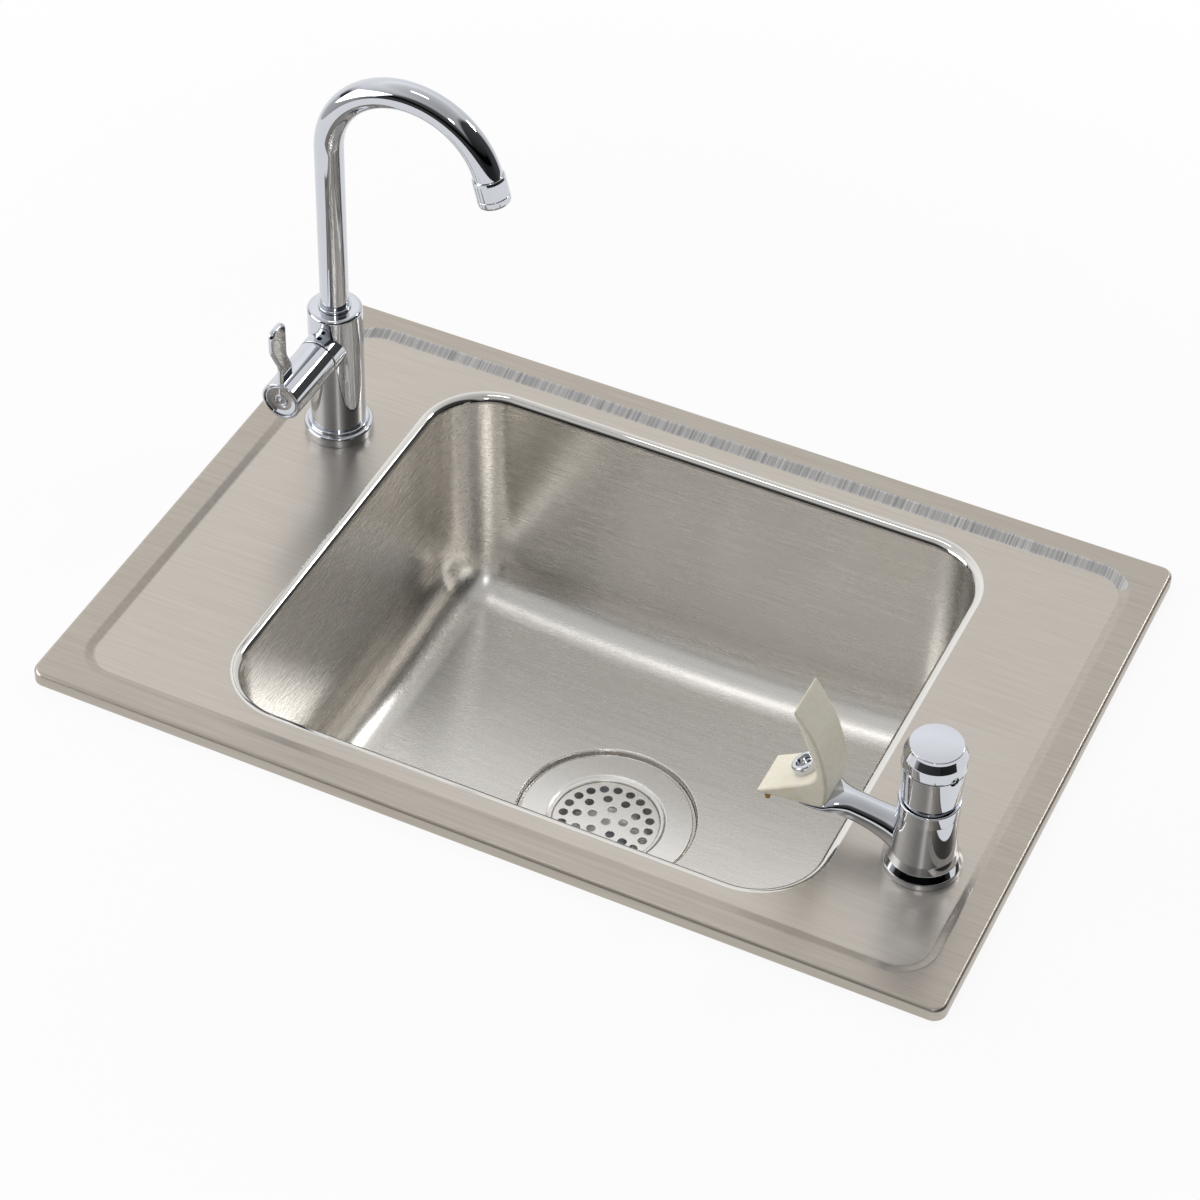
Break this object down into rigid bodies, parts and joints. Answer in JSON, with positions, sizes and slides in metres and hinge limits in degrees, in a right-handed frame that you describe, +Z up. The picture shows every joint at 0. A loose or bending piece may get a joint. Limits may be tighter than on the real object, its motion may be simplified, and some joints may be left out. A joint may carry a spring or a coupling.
{
  "type": "classroom sink",
  "caption": "Drop-in stainless classroom sink with a gooseneck tap, lever valve, push-cap drinking bubbler with a mouth guard, and a perforated drain.",
  "frame": {"origin": "middle of the rim outline in plan, on the counter plane that the turned-down rim edge rests on", "axes": "+X along the long side from the tap deck to the bubbler deck, -Y towards the user, +Z up"},
  "size_m": [0.635, 0.4318, 0.6547],
  "materials": {
    "stainless": "satin, fine brush lines along the long side",
    "chromed": "bright polished chrome on brass",
    "drain_steel": "bright satin stainless",
    "black_rubber": "matt",
    "zinc_steel": "zinc-plated steel",
    "brass_raw": "machined brass",
    "ivory_guard": "ivory, smooth moulded",
    "fibre": "brown fibre",
    "grey_plastic": "dark grey",
    "damping_pad": "matt grey damping sheet"
  },
  "bodies": {
    "sink": {"sink_deck": "stainless", "sink_bowl": "stainless", "sound_pad_left": "damping_pad", "sound_pad_right": "damping_pad", "channel_front": "zinc_steel", "channel_back": "zinc_steel", "channel_left": "zinc_steel", "channel_right": "zinc_steel", "rim_clips": "zinc_steel", "clip_screws": "zinc_steel", "clip_nuts": "zinc_steel", "drain_body": "drain_steel", "drain_flange_seal": "black_rubber", "drain_strainer": "drain_steel", "drain_gasket": "black_rubber", "drain_friction_ring": "fibre", "drain_locknut": "brass_raw", "tail_washer": "black_rubber", "tailpiece": "chromed", "tail_nut": "chromed", "tap_shank": "brass_raw", "tap_gasket": "black_rubber", "tap_washer": "zinc_steel", "tap_locknut": "brass_raw", "tap_base": "chromed", "tap_body": "chromed", "tap_set_screw": "zinc_steel", "tap_cartridge": "brass_raw", "bubbler_shank": "brass_raw", "bubbler_gasket": "black_rubber", "bubbler_washer": "zinc_steel", "bubbler_locknut": "brass_raw", "bubbler_body": "chromed", "mouth_guard": "ivory_guard", "bubbler_jet": "chromed", "bubbler_spring": "zinc_steel", "bubbler_cartridge": "brass_raw", "guard_pin": "brass_raw"},
    "spout": {"spout_tube": "chromed", "spout_seals": "black_rubber", "spout_ring": "chromed", "aerator_shell": "chromed", "aerator_washer": "black_rubber", "aerator_insert": "grey_plastic"},
    "tap_handle": {"tap_spindle": "brass_raw", "handle_hub": "chromed", "handle_end_cap": "chromed", "handle_screw": "zinc_steel", "handle_lever": "chromed"},
    "bubbler_cap": {"push_cap": "chromed", "cap_set_screw": "zinc_steel", "bubbler_spindle": "brass_raw"}
  },
  "joints": [
    {"name": "spout_swivel", "type": "hinge", "parent": "sink", "child": "spout", "pos_m": [-0.257, 0.091, 0.107], "axis": [0, 0, 1], "continuous": true},
    {"name": "tap_handle_turn", "type": "hinge", "parent": "sink", "child": "tap_handle", "pos_m": [-0.257, 0.041, 0.0874], "axis": [0, -1, 0], "range_deg": [0, 90]},
    {"name": "bubbler_push", "type": "slide", "parent": "sink", "child": "bubbler_cap", "axis": [0, 0, -1], "range_m": [0, 0.003], "stiffness_N_per_m": 2000, "springref_m": -0.004, "deforming": ["bubbler_spring"]}
  ]
}
